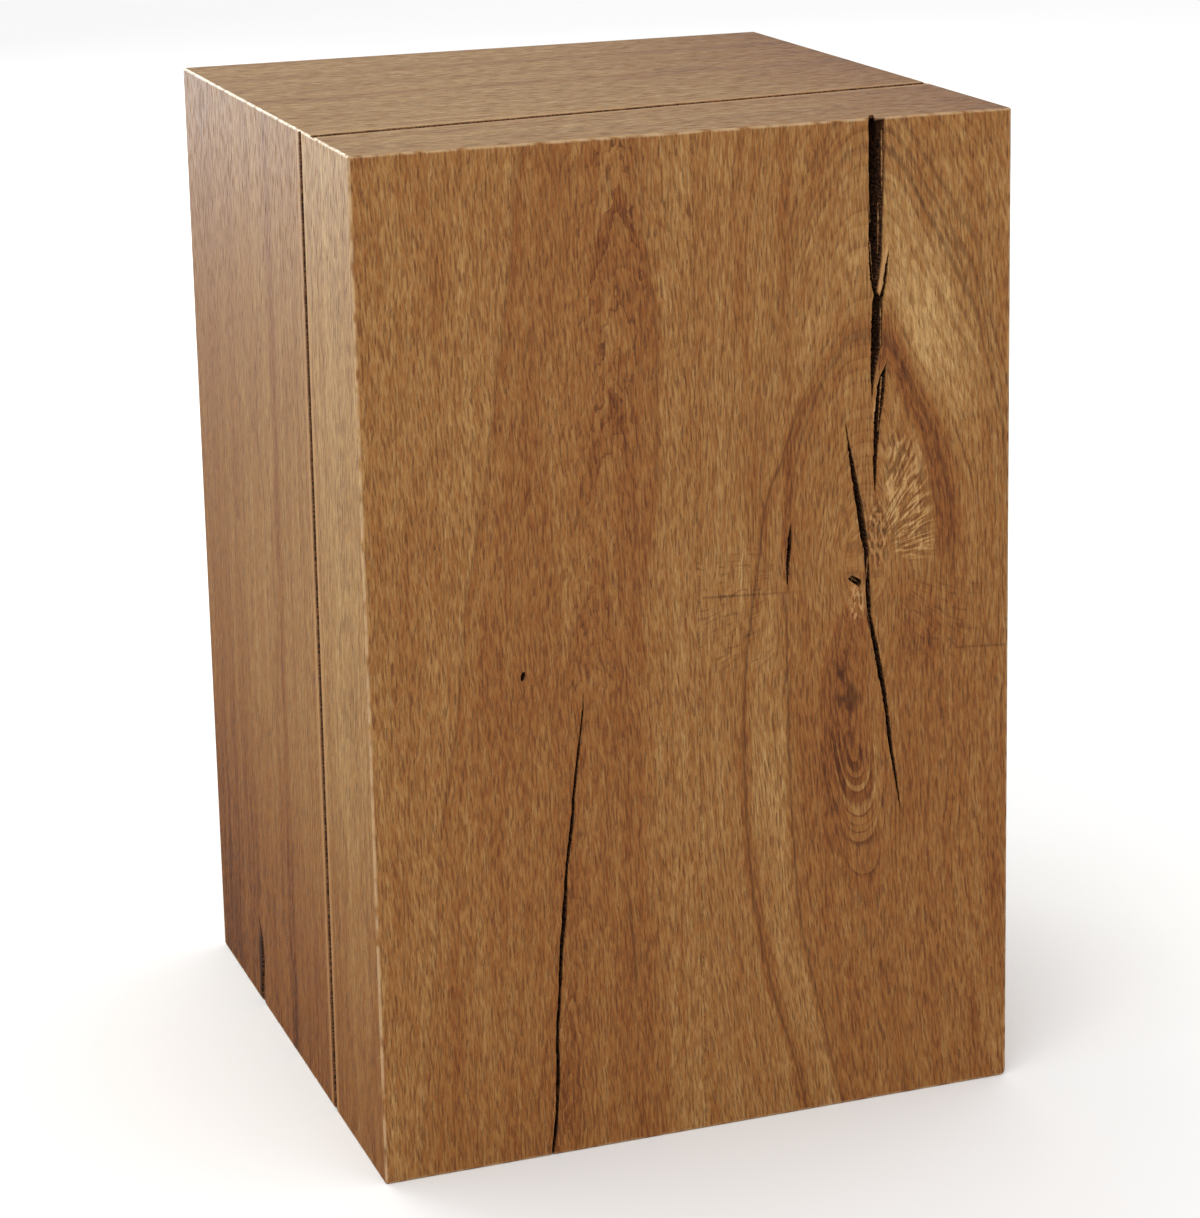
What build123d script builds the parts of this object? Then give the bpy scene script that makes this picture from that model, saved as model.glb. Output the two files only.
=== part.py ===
from build123d import *
import os

# Oak block: a tall hollow cube of mitred boards, standing on its open-grained foot.
# Millimetres. The origin is the middle of the foot, +Z is up and the front faces -Y.

# Outside of the block
block_width = 297.0
block_depth = 297.0
block_height = 450.0
arris_ease = 0.8

# Boards that make up the four walls, the top and the floor
wall_thickness = 25.0
floor_thickness = 18.0
cleat_size = 20.0

# Where the boards of each panel meet
front_seam_from_left = 148.5
back_seam_from_left = 160.0
left_seam_from_front_at_foot = 82.0
left_seam_from_front_at_top = 76.0
right_seam_from_front = 118.0
top_seam_from_front_at_left = 58.0
top_seam_from_front_at_right = 87.0
floor_seam_from_front = 126.0

# Glue lines that have opened at the face
left_line_width = 3.5
top_line_width = 4.5
open_line_depth = 9.0
line_lip_ease = 0.6

# Biscuits in the mitres
biscuit_length = 53.0
biscuit_width = 19.0
biscuit_thickness = 4.0
biscuit_slot_clearance = 0.15
biscuit_from_outer_faces = 15.0
corner_biscuit_count = 4
corner_biscuit_spacing = 100.0
top_biscuit_count = 2
top_biscuit_spacing = 92.0

# The knot of the right front board and the checks that cross it
knot_from_seam = 77.0
knot_height = 255.0
deep_check_from_knot = 7.5
deep_check_width = 7.9
rim_notch_width = 3.0
rim_notch_end_width = 1.6
rim_notch_length = 8.4
rim_notch_lean = 4.3
slant_check_below_knot = 121.0
wood_behind_checks = 5.0
fine_check_depth = 12.0
hairline_check_depth = 7.0
mitre_skin = 1.6
pin_knot_from_seam = 80.0
pin_knot_height = 221.5
pin_knot_width = 2.3
pin_knot_length = 4.4
pin_knot_depth = 6.0
long_check_from_left = 86.0
foot_check_from_back = 82.0
foot_nick_from_back = 117.0
corner_nip = 2.4

half_width = block_width / 2
half_depth = block_depth / 2
inner_width = block_width - 2 * wall_thickness
inner_depth = block_depth - 2 * wall_thickness
deep_check_depth = wall_thickness - wood_behind_checks

# Each panel has its own flat frame on its outer face: u to the right, v up (or to the
# back on the top), and w outwards. The walls start at the foot.
front_face = Plane(origin=(0, -half_depth, 0), x_dir=(1, 0, 0), z_dir=(0, -1, 0))
right_face = Plane(origin=(half_width, 0, 0), x_dir=(0, 1, 0), z_dir=(1, 0, 0))
back_face = Plane(origin=(0, half_depth, 0), x_dir=(-1, 0, 0), z_dir=(0, 1, 0))
left_face = Plane(origin=(-half_width, 0, 0), x_dir=(0, -1, 0), z_dir=(-1, 0, 0))
top_face = Plane(origin=(0, 0, block_height), x_dir=(1, 0, 0), z_dir=(0, 0, 1))


def slanted_plane(face, point, direction, lean):
    """A plane through a point (u, v) of a face, that faces along direction and leans by w."""
    origin = face.from_local_coords((point[0], point[1], 0))
    tip = face.from_local_coords((point[0] + direction[0], point[1] + direction[1], lean))
    return Plane(origin=origin, z_dir=tip - origin)


def mitre(face, edge, inward):
    """Cuts the board that is being built at 45 degrees, from an outer edge of its face."""
    split(bisect_by=slanted_plane(face, edge, inward, 1), keep=Keep.TOP)
    ease(face, edge, inward, arris_ease)


def ease(face, edge, inward, size):
    """Takes a small flat off an edge of the face."""
    start = (edge[0] + inward[0] * size, edge[1] + inward[1] * size)
    split(bisect_by=slanted_plane(face, start, inward, -1), keep=Keep.TOP)


def blank(face, outline):
    """A board of the wall thickness behind its outline on the face."""
    with BuildSketch(face) as shape:
        with BuildLine():
            Polyline(*outline, close=True)
        make_face()
    extrude(shape.sketch, amount=-wall_thickness)


def open_line(face, foot, head, side, width):
    """Sets the outer part of a glued edge back, on the board that lies to one side of it."""
    half = side * width / 2
    with BuildSketch(face) as strip:
        with BuildLine():
            Polyline(foot, head, (head[0] + half, head[1]), (foot[0] + half, foot[1]), close=True)
        make_face()
    extrude(strip.sketch, amount=-open_line_depth, mode=Mode.SUBTRACT)


def check(face, stations, depth):
    """A drying crack: stations are (v, middle u, width) from one end to the other."""
    left = [(u - width / 2, v) for v, u, width in stations]
    right = [(u + width / 2, v) for v, u, width in reversed(stations) if width > 0]
    with BuildSketch(face) as gap:
        with BuildLine():
            Polyline(*left, *right, close=True)
        make_face()
    extrude(gap.sketch, amount=-depth, mode=Mode.SUBTRACT)


def biscuit(length, width, thickness):
    """A lens of pressed beech, flat in the plane of its length and width."""
    with BuildSketch(Plane.XY.offset(-thickness / 2)) as lens:
        with BuildLine():
            ThreePointArc((-length / 2, 0), (0, width / 2), (length / 2, 0))
            ThreePointArc((length / 2, 0), (0, -width / 2), (-length / 2, 0))
        make_face()
    return extrude(lens.sketch, amount=thickness)


def corner_spots(x_side, y_side):
    """Places of the biscuits along one upright mitre."""
    x = x_side * (half_width - biscuit_from_outer_faces)
    y = y_side * (half_depth - biscuit_from_outer_faces)
    middle = (block_height - wall_thickness) / 2
    across = Plane(origin=(x, y, middle), x_dir=(0, 0, 1), z_dir=(x_side, y_side, 0))
    return [
        across.location * Location((step, 0, 0))
        for step in spread(corner_biscuit_count, corner_biscuit_spacing)
    ]


def top_spots(x_side, y_side, seam_y=0.0):
    """Places of the biscuits along one mitre of the top: one of the sides is 0. Those of a
    side mitre all sit in the rear board of the top, which starts at seam_y."""
    x = x_side * (half_width - biscuit_from_outer_faces)
    y = y_side * (half_depth - biscuit_from_outer_faces)
    if y_side == 0:
        y = (seam_y + half_depth - wall_thickness) / 2
    across = Plane(
        origin=(x, y, block_height - biscuit_from_outer_faces),
        x_dir=(abs(y_side), abs(x_side), 0),
        z_dir=(x_side, y_side, 1),
    )
    return [
        across.location * Location((step, 0, 0))
        for step in spread(top_biscuit_count, top_biscuit_spacing)
    ]


def spread(count, spacing):
    """Evenly spaced steps about zero."""
    return [(number - (count - 1) / 2) * spacing for number in range(count)]


slot = biscuit(
    biscuit_length + 2 * biscuit_slot_clearance,
    biscuit_width + 2 * biscuit_slot_clearance,
    biscuit_thickness + 2 * biscuit_slot_clearance,
)
loose_biscuit = biscuit(biscuit_length, biscuit_width, biscuit_thickness)


def slots(spots):
    """Cuts the biscuit slots of one mitre."""
    for spot in spots:
        add(slot.moved(spot), mode=Mode.SUBTRACT)


front_left_spots = corner_spots(-1, -1)
front_right_spots = corner_spots(1, -1)
back_left_spots = corner_spots(-1, 1)
back_right_spots = corner_spots(1, 1)
top_front_spots = top_spots(0, -1)
top_back_spots = top_spots(0, 1)
top_left_spots = top_spots(-1, 0, top_seam_from_front_at_left - half_depth)
top_right_spots = top_spots(1, 0, top_seam_from_front_at_right - half_depth)

# Front: two flat-sawn boards, book-wide, with the grain upright
front_seam = front_seam_from_left - half_width
knot_u = front_seam + knot_from_seam

with BuildPart() as front_left_board:
    blank(
        front_face,
        [(-half_width, 0), (front_seam, 0), (front_seam, block_height), (-half_width, block_height)],
    )
    mitre(front_face, (-half_width, 0), (1, 0))
    mitre(front_face, (0, block_height), (0, -1))
    ease(front_face, (0, 0), (0, 1), arris_ease)
    slots(front_left_spots)
    slots(top_front_spots)
    # A long thin check climbs from the foot, a hand's width from the left edge
    check_u = long_check_from_left - half_width
    check(
        front_face,
        [
            (-1, check_u - 9.8, 1.5),
            (15, check_u - 7.6, 1.9),
            (36, check_u - 6.2, 2.0),
            (56, check_u - 6.1, 1.7),
            (77, check_u - 4.4, 1.6),
            (97, check_u - 3.2, 2.1),
            (110, check_u - 1.6, 2.4),
            (133, check_u, 1.6),
            (149, check_u + 2.4, 1.9),
            (173, check_u + 4.9, 1.5),
            (201, check_u + 8.8, 0.9),
            (214, check_u + 9.6, 0),
        ],
        hairline_check_depth,
    )
    # A pin knot that has dropped out
    with BuildSketch(front_face):
        with Locations((front_seam - pin_knot_from_seam, pin_knot_height)):
            Ellipse(pin_knot_width / 2, pin_knot_length / 2, rotation=-12)
    extrude(amount=-pin_knot_depth, mode=Mode.SUBTRACT)
front_left_board.part.label = "front_left_board"

# The deep check starts at the top arris and closes beside the knot, with two splinters
# left standing in it. Its stations hang from the top edge.
check_u = knot_u + deep_check_from_knot
mouth_u = check_u + 0.2
top_v = block_height
mouth_of_check = [
    (top_v + 1, mouth_u, deep_check_width),
    (top_v - 22, check_u + 0.1, 7.5),
    (top_v - 36, check_u - 0.1, 7.3),
    (top_v - 50, check_u - 0.4, 6.8),
    (top_v - 60, check_u - 0.4, 6.6),
    (top_v - 68, check_u - 0.8, 5.0),
    (top_v - 74, check_u - 0.8, 3.0),
    (top_v - 79, check_u - 0.3, 1.2),
]

with BuildPart() as front_right_board:
    blank(
        front_face,
        [(front_seam, 0), (half_width, 0), (half_width, block_height), (front_seam, block_height)],
    )
    mitre(front_face, (half_width, 0), (-1, 0))
    mitre(front_face, (0, block_height), (0, -1))
    ease(front_face, (0, 0), (0, 1), arris_ease)
    slots(front_right_spots)
    slots(top_front_spots)
    check(front_face, mouth_of_check, deep_check_depth)
    # The narrow branch to the right of it
    check(
        front_face,
        [
            (top_v - 55, check_u + 6.0, 0),
            (top_v - 64, check_u + 4.9, 1.4),
            (top_v - 72, check_u + 3.8, 1.7),
            (top_v - 80, check_u + 1.9, 2.4),
        ],
        deep_check_depth,
    )
    # The second length, down to the first splinter
    check(
        front_face,
        [
            (top_v - 76, check_u - 0.3, 1.9),
            (top_v - 81, check_u + 0.4, 5.2),
            (top_v - 90, check_u + 0.1, 5.6),
            (top_v - 99, check_u, 5.5),
            (top_v - 106, check_u - 1.2, 3.6),
            (top_v - 114, check_u - 1.9, 2.2),
            (top_v - 125, check_u - 2.4, 0),
        ],
        deep_check_depth,
    )
    # The third length, that runs out in a hairline
    check(
        front_face,
        [
            (top_v - 107, check_u + 4.7, 0),
            (top_v - 113, check_u + 2.9, 2.8),
            (top_v - 118, check_u + 2.1, 4.0),
            (top_v - 125, check_u + 1.3, 4.0),
            (top_v - 131, check_u + 0.4, 3.5),
            (top_v - 138, check_u - 0.1, 3.0),
            (top_v - 151, check_u - 0.8, 2.1),
            (top_v - 159, check_u - 1.0, 1.5),
            (top_v - 169, check_u - 1.2, 0),
        ],
        deep_check_depth,
    )
    # The long check that crosses the knot on a slant
    check(
        front_face,
        [
            (knot_height + 63, knot_u - 7.6, 0),
            (knot_height + 49, knot_u - 5.3, 1.7),
            (knot_height + 38, knot_u - 3.4, 2.8),
            (knot_height + 25, knot_u - 1.0, 3.4),
            (knot_height + 12, knot_u + 0.9, 3.7),
            (knot_height + 4, knot_u + 2.3, 2.7),
            (knot_height - 16, knot_u + 3.2, 2.6),
            (knot_height - 26, knot_u + 3.6, 2.5),
            (knot_height - 39, knot_u + 6.4, 2.6),
            (knot_height - 50, knot_u + 8.4, 2.8),
            (knot_height - 60, knot_u + 10.3, 2.5),
            (knot_height - 71, knot_u + 11.9, 2.1),
            (knot_height - 85, knot_u + 13.5, 2.1),
            (knot_height - 96, knot_u + 15.2, 1.7),
            (knot_height - slant_check_below_knot + 11, knot_u + 17.4, 1.1),
            (knot_height - slant_check_below_knot, knot_u + 18.6, 0),
        ],
        fine_check_depth,
    )
    # A short check left of the knot, and the pit beside it where bark fell out
    check(
        front_face,
        [
            (knot_height + 21, knot_u - 33.6, 0),
            (knot_height + 15, knot_u - 33.8, 2.0),
            (knot_height + 8, knot_u - 34.2, 2.3),
            (knot_height + 3, knot_u - 34.9, 2.0),
            (knot_height - 4, knot_u - 35.2, 1.2),
            (knot_height - 11, knot_u - 35.0, 0),
        ],
        hairline_check_depth,
    )
    check(
        front_face,
        [
            (knot_height - 6.4, knot_u - 4.6, 0),
            (knot_height - 7.8, knot_u - 4.4, 4.6),
            (knot_height - 9.2, knot_u - 2.6, 5.2),
            (knot_height - 10.8, knot_u - 1.6, 3.0),
            (knot_height - 12.4, knot_u - 1.0, 0),
        ],
        hairline_check_depth,
    )
    # The foot of the outer corner is nipped off
    foot_corner = slanted_plane(front_face, (half_width - corner_nip, 0), (-1, 1), 0)
    split(bisect_by=foot_corner, keep=Keep.TOP)
front_right_board.part.label = "front_right_board"

# Left side: a wide board and a narrow one, with the glue line open from top to foot
left_seam_foot = (half_depth - left_seam_from_front_at_foot, 0)
left_seam_head = (half_depth - left_seam_from_front_at_top, block_height)
left_seam_tilt = (left_seam_head[0] - left_seam_foot[0]) / block_height

with BuildPart() as left_front_board:
    blank(
        left_face,
        [left_seam_foot, (half_depth, 0), (half_depth, block_height), left_seam_head],
    )
    open_line(left_face, left_seam_foot, left_seam_head, 1, left_line_width)
    lip = (left_seam_foot[0] + left_line_width / 2, 0)
    ease(left_face, lip, (1, -left_seam_tilt), line_lip_ease)
    mitre(left_face, (half_depth, 0), (-1, 0))
    mitre(left_face, (0, block_height), (0, -1))
    ease(left_face, (0, 0), (0, 1), arris_ease)
    slots(front_left_spots)
    slots(top_left_spots)
left_front_board.part.label = "left_front_board"

with BuildPart() as left_rear_board:
    blank(
        left_face,
        [(-half_depth, 0), left_seam_foot, left_seam_head, (-half_depth, block_height)],
    )
    open_line(left_face, left_seam_foot, left_seam_head, -1, left_line_width)
    lip = (left_seam_foot[0] - left_line_width / 2, 0)
    ease(left_face, lip, (-1, left_seam_tilt), line_lip_ease)
    mitre(left_face, (-half_depth, 0), (1, 0))
    mitre(left_face, (0, block_height), (0, -1))
    ease(left_face, (0, 0), (0, 1), arris_ease)
    slots(back_left_spots)
    slots(top_left_spots)
    # A check that opens out at the foot, and a nick in front of it
    foot_u = foot_check_from_back - half_depth
    check(
        left_face,
        [
            (-1, foot_u + 1.5, 7.5),
            (3.5, foot_u - 2.0, 5.5),
            (9, foot_u - 1.0, 4.8),
            (18, foot_u + 1.8, 5.2),
            (28, foot_u + 2.6, 4.8),
            (35, foot_u + 1.0, 3.6),
            (41, foot_u - 1.6, 2.4),
            (45, foot_u - 3.2, 0),
        ],
        fine_check_depth,
    )
    nick_u = foot_nick_from_back - half_depth
    check(
        left_face,
        [(-1, nick_u + 2.0, 3.4), (3, nick_u, 2.2), (11, nick_u - 1.0, 0)],
        hairline_check_depth,
    )
left_rear_board.part.label = "left_rear_board"

# Right side: a narrow front board and a wide rear one, tight at the seam
right_seam = right_seam_from_front - half_depth

with BuildPart() as right_front_board:
    blank(
        right_face,
        [(-half_depth, 0), (right_seam, 0), (right_seam, block_height), (-half_depth, block_height)],
    )
    mitre(right_face, (-half_depth, 0), (1, 0))
    mitre(right_face, (0, block_height), (0, -1))
    ease(right_face, (0, 0), (0, 1), arris_ease)
    slots(front_right_spots)
    slots(top_right_spots)
    split(bisect_by=foot_corner, keep=Keep.TOP)
right_front_board.part.label = "right_front_board"

with BuildPart() as right_rear_board:
    blank(
        right_face,
        [(right_seam, 0), (half_depth, 0), (half_depth, block_height), (right_seam, block_height)],
    )
    mitre(right_face, (half_depth, 0), (-1, 0))
    mitre(right_face, (0, block_height), (0, -1))
    ease(right_face, (0, 0), (0, 1), arris_ease)
    slots(back_right_spots)
    slots(top_right_spots)
right_rear_board.part.label = "right_rear_board"

# Back: two upright boards, named as seen from the front
back_seam = half_width - back_seam_from_left

with BuildPart() as back_left_board:
    blank(
        back_face,
        [(back_seam, 0), (half_width, 0), (half_width, block_height), (back_seam, block_height)],
    )
    mitre(back_face, (half_width, 0), (-1, 0))
    mitre(back_face, (0, block_height), (0, -1))
    ease(back_face, (0, 0), (0, 1), arris_ease)
    slots(back_left_spots)
    slots(top_back_spots)
back_left_board.part.label = "back_left_board"

with BuildPart() as back_right_board:
    blank(
        back_face,
        [(-half_width, 0), (back_seam, 0), (back_seam, block_height), (-half_width, block_height)],
    )
    mitre(back_face, (-half_width, 0), (1, 0))
    mitre(back_face, (0, block_height), (0, -1))
    ease(back_face, (0, 0), (0, 1), arris_ease)
    slots(back_right_spots)
    slots(top_back_spots)
back_right_board.part.label = "back_right_board"

# Top: the grain runs from left to right, and the boards are ripped along it, so their
# open glue line crosses the top on a slant
top_seam_left = (-half_width, top_seam_from_front_at_left - half_depth)
top_seam_right = (half_width, top_seam_from_front_at_right - half_depth)
top_seam_tilt = (top_seam_right[1] - top_seam_left[1]) / block_width
half_line = top_line_width / 2


def top_edges():
    """Mitres the top board on the edges that it has."""
    mitre(top_face, (-half_width, 0), (1, 0))
    mitre(top_face, (half_width, 0), (-1, 0))
    slots(top_left_spots)
    slots(top_right_spots)


def top_line(side):
    """The open glue line, cut from the board in front of it (-1) or behind it (1)."""
    with BuildSketch(top_face) as strip:
        with BuildLine():
            Polyline(
                top_seam_left,
                top_seam_right,
                (half_width, top_seam_right[1] + side * half_line),
                (-half_width, top_seam_left[1] + side * half_line),
                close=True,
            )
        make_face()
    extrude(strip.sketch, amount=-open_line_depth, mode=Mode.SUBTRACT)
    lip = (-half_width, top_seam_left[1] + side * half_line)
    ease(top_face, lip, (-side * top_seam_tilt, side), line_lip_ease)


with BuildPart() as top_front_board:
    blank(
        top_face,
        [(-half_width, -half_depth), (half_width, -half_depth), top_seam_right, top_seam_left],
    )
    top_edges()
    mitre(top_face, (0, -half_depth), (0, 1))
    slots(top_front_spots)
    top_line(-1)
    # The deep check of the front goes on into the mitre, under a thin skin at the arris
    with BuildSketch(front_face):
        with Locations((mouth_u, block_height - mitre_skin)):
            Rectangle(deep_check_width, wall_thickness, align=(Align.CENTER, Align.MAX))
    extrude(amount=-deep_check_depth, mode=Mode.SUBTRACT)
    # Its left side breaks through the skin, in a notch that narrows and leans to the right
    notch_left = mouth_u - deep_check_width / 2
    notch_back = rim_notch_length - half_depth
    with BuildSketch(top_face):
        with BuildLine():
            Polyline(
                (notch_left, -half_depth),
                (notch_left + rim_notch_width, -half_depth),
                (notch_left + rim_notch_lean + rim_notch_end_width, notch_back),
                (notch_left + rim_notch_lean, notch_back),
                close=True,
            )
        make_face()
    extrude(amount=-2 * mitre_skin, mode=Mode.SUBTRACT)
top_front_board.part.label = "top_front_board"

with BuildPart() as top_rear_board:
    blank(
        top_face,
        [top_seam_left, top_seam_right, (half_width, half_depth), (-half_width, half_depth)],
    )
    top_edges()
    mitre(top_face, (0, half_depth), (0, -1))
    slots(top_back_spots)
    top_line(1)
top_rear_board.part.label = "top_rear_board"

# Floor: two boards between the walls, flush with their feet
floor_front_size = floor_seam_from_front - wall_thickness
floor_seam_y = floor_seam_from_front - half_depth

with BuildPart() as floor_front_board:
    with BuildSketch():
        with Locations((0, floor_seam_y)):
            Rectangle(inner_width, floor_front_size, align=(Align.CENTER, Align.MAX))
    extrude(amount=floor_thickness)
floor_front_board.part.label = "floor_front_board"

with BuildPart() as floor_rear_board:
    with BuildSketch():
        with Locations((0, floor_seam_y)):
            Rectangle(
                inner_width,
                inner_depth - floor_front_size,
                align=(Align.CENTER, Align.MIN),
            )
    extrude(amount=floor_thickness)
floor_rear_board.part.label = "floor_rear_board"

boards = [
    front_left_board,
    front_right_board,
    left_front_board,
    left_rear_board,
    right_front_board,
    right_rear_board,
    back_left_board,
    back_right_board,
    top_front_board,
    top_rear_board,
    floor_front_board,
    floor_rear_board,
]

# Cleats round the inside, glued to the walls, carry the floor boards. The front and back
# ones run from wall to wall, and the side ones fit between them.
cleats = []
for side, y_side in (("front", -1), ("back", 1)):
    with BuildPart() as cleat:
        with BuildSketch(Plane.XY.offset(floor_thickness)):
            with Locations((0, y_side * (inner_depth - cleat_size) / 2)):
                Rectangle(inner_width, cleat_size)
        extrude(amount=cleat_size)
    cleat.part.label = side + "_cleat"
    cleats.append(cleat)

for side, x_side in (("left", -1), ("right", 1)):
    with BuildPart() as cleat:
        with BuildSketch(Plane.XY.offset(floor_thickness)):
            with Locations((x_side * (inner_width - cleat_size) / 2, 0)):
                Rectangle(cleat_size, inner_depth - 2 * cleat_size)
        extrude(amount=cleat_size)
    cleat.part.label = side + "_cleat"
    cleats.append(cleat)

# Biscuits, one group for each mitre
biscuits = []
for mitre_name, spots in (
    ("front_left_corner", front_left_spots),
    ("front_right_corner", front_right_spots),
    ("back_left_corner", back_left_spots),
    ("back_right_corner", back_right_spots),
    ("top_front", top_front_spots),
    ("top_back", top_back_spots),
    ("top_left", top_left_spots),
    ("top_right", top_right_spots),
):
    with BuildPart() as group:
        for spot in spots:
            add(loose_biscuit.moved(spot))
    group.part.label = mitre_name + "_biscuits"
    biscuits.append(group)

os.makedirs("parts", exist_ok=True)
for piece in boards + cleats + biscuits:
    export_step(piece.part, "parts/" + piece.part.label + ".step")
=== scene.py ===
# %% [markdown]
# A tall block of oiled oak, as sold for a side table or a plinth. It is a hollow box of
# boards, joined by mitres at every edge. The boards already have their true shape in the
# frame, so this lesson is mostly about wood: how a shader can hold the growth rings, the
# pores and the knot of one real plank. A photograph wrapped round the block would be the
# quick way, but it would smear at the edges and show its seams. Here the pattern is worked
# out from the place of each point on its board, and it goes on down the walls of a crack.

# %% Load the frame
import math

import bpy
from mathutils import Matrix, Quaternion, Vector


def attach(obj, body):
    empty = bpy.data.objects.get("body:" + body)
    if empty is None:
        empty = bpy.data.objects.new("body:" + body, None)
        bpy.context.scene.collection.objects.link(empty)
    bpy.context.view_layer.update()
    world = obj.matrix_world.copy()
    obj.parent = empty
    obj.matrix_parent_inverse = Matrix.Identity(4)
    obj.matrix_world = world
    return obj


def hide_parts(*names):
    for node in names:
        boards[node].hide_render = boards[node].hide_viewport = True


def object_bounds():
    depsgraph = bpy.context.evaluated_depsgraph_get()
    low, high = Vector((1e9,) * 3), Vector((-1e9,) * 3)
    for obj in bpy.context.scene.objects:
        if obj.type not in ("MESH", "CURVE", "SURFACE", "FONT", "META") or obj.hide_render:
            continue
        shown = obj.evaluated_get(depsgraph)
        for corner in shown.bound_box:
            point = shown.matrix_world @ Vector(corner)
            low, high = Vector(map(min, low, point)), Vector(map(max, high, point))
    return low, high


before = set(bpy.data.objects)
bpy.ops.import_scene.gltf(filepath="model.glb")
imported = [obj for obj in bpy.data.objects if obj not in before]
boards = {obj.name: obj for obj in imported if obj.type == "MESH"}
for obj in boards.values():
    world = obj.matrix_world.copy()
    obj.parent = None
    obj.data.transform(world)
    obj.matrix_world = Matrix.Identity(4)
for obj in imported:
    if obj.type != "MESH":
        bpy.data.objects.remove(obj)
cad_low, cad_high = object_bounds()
print("nodes", len(boards), "size", [round(c, 4) for c in cad_high - cad_low])

# %% [markdown]
# The camera stands in front of the block, a little to its left and above it. Its place was
# worked out from the corners of the block, so the lens is long and the frame is shifted
# down. The view direction is given as a compass angle and a tilt, with a slight roll.

# %% Place the camera
image_height = 1218
focal_length_in_pixels = 3448.33
film_size = 36.0

camera_data = bpy.data.cameras.new("camera")
camera_data.sensor_width = film_size
camera_data.lens = focal_length_in_pixels * film_size / image_height
camera_data.shift_x = -0.05361
camera_data.shift_y = -0.17990
camera_data.clip_start = 0.05
camera_data.clip_end = 60.0

azimuth = math.radians(20.3433)
tilt = math.radians(13.0442)
roll = math.radians(-0.9571)
looking = Vector(
    (
        math.sin(azimuth) * math.cos(tilt),
        math.cos(azimuth) * math.cos(tilt),
        -math.sin(tilt),
    )
)
camera = bpy.data.objects.new("camera", camera_data)
camera.rotation_mode = "QUATERNION"
camera.location = (-0.508354, -1.483282, 0.670107)
camera.rotation_quaternion = looking.to_track_quat("-Z", "Y") @ Quaternion((0, 0, 1), roll)
bpy.context.scene.collection.objects.link(camera)
bpy.context.scene.camera = camera
print("lens", round(camera_data.lens, 2), "mm")

# %% [markdown]
# A shader is a graph of small nodes, and a formula with ten terms would take ten of them
# placed by hand. A Field stands for one number that varies over the wood. It can be added,
# multiplied and compared in plain formulas, and each step adds the node it needs.

# %% Arithmetic on fields
MM = 1000.0


def plug(tree, socket, value):
    """Links a field or a socket to an input, or sets a plain value on it."""
    if isinstance(value, Field):
        value = value.socket
    if isinstance(value, bpy.types.NodeSocket):
        tree.links.new(value, socket)
    else:
        socket.default_value = value


class Arithmetic:
    """What a field can do in a formula. Each step adds one node."""

    def maths(self, operation, *others):
        node = self.tree.nodes.new("ShaderNodeMath")
        node.operation = operation
        for place, value in zip(node.inputs, (self, *others)):
            plug(self.tree, place, value)
        return Field(self.tree, node.outputs[0])

    def __add__(self, other):
        return self.maths("ADD", other)

    def __sub__(self, other):
        return self.maths("SUBTRACT", other)

    def __rsub__(self, other):
        return self.maths("MULTIPLY_ADD", -1.0, other)

    def __mul__(self, other):
        return self.maths("MULTIPLY", other)

    __radd__ = __add__
    __rmul__ = __mul__

    def __truediv__(self, other):
        return self.maths("DIVIDE", other)

    def __neg__(self):
        return self.maths("MULTIPLY", -1.0)

    def squared(self):
        return self.maths("MULTIPLY", self)

    def root(self):
        return self.maths("SQRT")

    def size(self):
        return self.maths("ABSOLUTE")

    def least(self, other):
        return self.maths("MINIMUM", other)

    def most(self, other):
        return self.maths("MAXIMUM", other)

    def whole(self):
        return self.maths("FLOOR")

    def part(self):
        return self.maths("FRACT")


print("arithmetic ready")

# %% [markdown]
# Hardly anything in wood has a hard border. So a mask is made of soft steps: a rise, a fall,
# both together, or a narrow pulse about a line. A curve that a maker would draw through a
# few marks on the board, such as the way of one dark line, is read from those marks.

# %% Soft steps and curves


class Field(Arithmetic):
    """A number that varies over the wood: a shader socket for use in a formula."""

    def __init__(self, tree, socket):
        self.tree = tree
        self.socket = socket

    def rise(self, low, high):
        """0 below low and 1 above high, with a smooth step between them."""
        node = self.tree.nodes.new("ShaderNodeMapRange")
        node.interpolation_type = "SMOOTHSTEP"
        for name, value in (("Value", self), ("From Min", low), ("From Max", high)):
            plug(self.tree, node.inputs[name], value)
        return Field(self.tree, node.outputs[0])

    def fall(self, low, high):
        """1 below low and 0 above high."""
        return 1.0 - self.rise(low, high)

    def within(self, low, high):
        """1 inside two soft borders, each given as where it starts and where it ends."""
        return self.rise(*low) * self.fall(*high)

    def pulse(self, centre, width):
        """1 at the centre, and 0 from width away."""
        return (self - centre).size().fall(0.3 * width, width)

    def curve(self, points):
        """Reads a smooth curve through (input, output) points. Past its ends it is level."""
        inputs = [point[0] for point in points]
        outputs = [point[1] for point in points]
        low, high = min(outputs), max(outputs)
        span = inputs[-1] - inputs[0]
        node = self.tree.nodes.new("ShaderNodeFloatCurve")
        line = node.mapping.curves[0]
        spots = [((a - inputs[0]) / span, (b - low) / (high - low)) for a, b in points]
        line.points[0].location = spots[0]
        line.points[1].location = spots[-1]
        for spot in spots[1:-1]:
            line.points.new(*spot)
        node.mapping.extend = "HORIZONTAL"
        node.mapping.update()
        plug(self.tree, node.inputs["Value"], (self - inputs[0]) / span)
        return Field(self.tree, node.outputs[0]) * (high - low) + low


print("fields ready")

# %% [markdown]
# Nearly all the small marks of wood come from one thing, soft noise that is stretched along
# the grain. It is worked out over the face alone, in two directions, because solid noise
# takes far longer. Each use has its own seed, which moves it to another part of the noise.

# %% Soft noise
seed_step = 17.3


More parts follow.
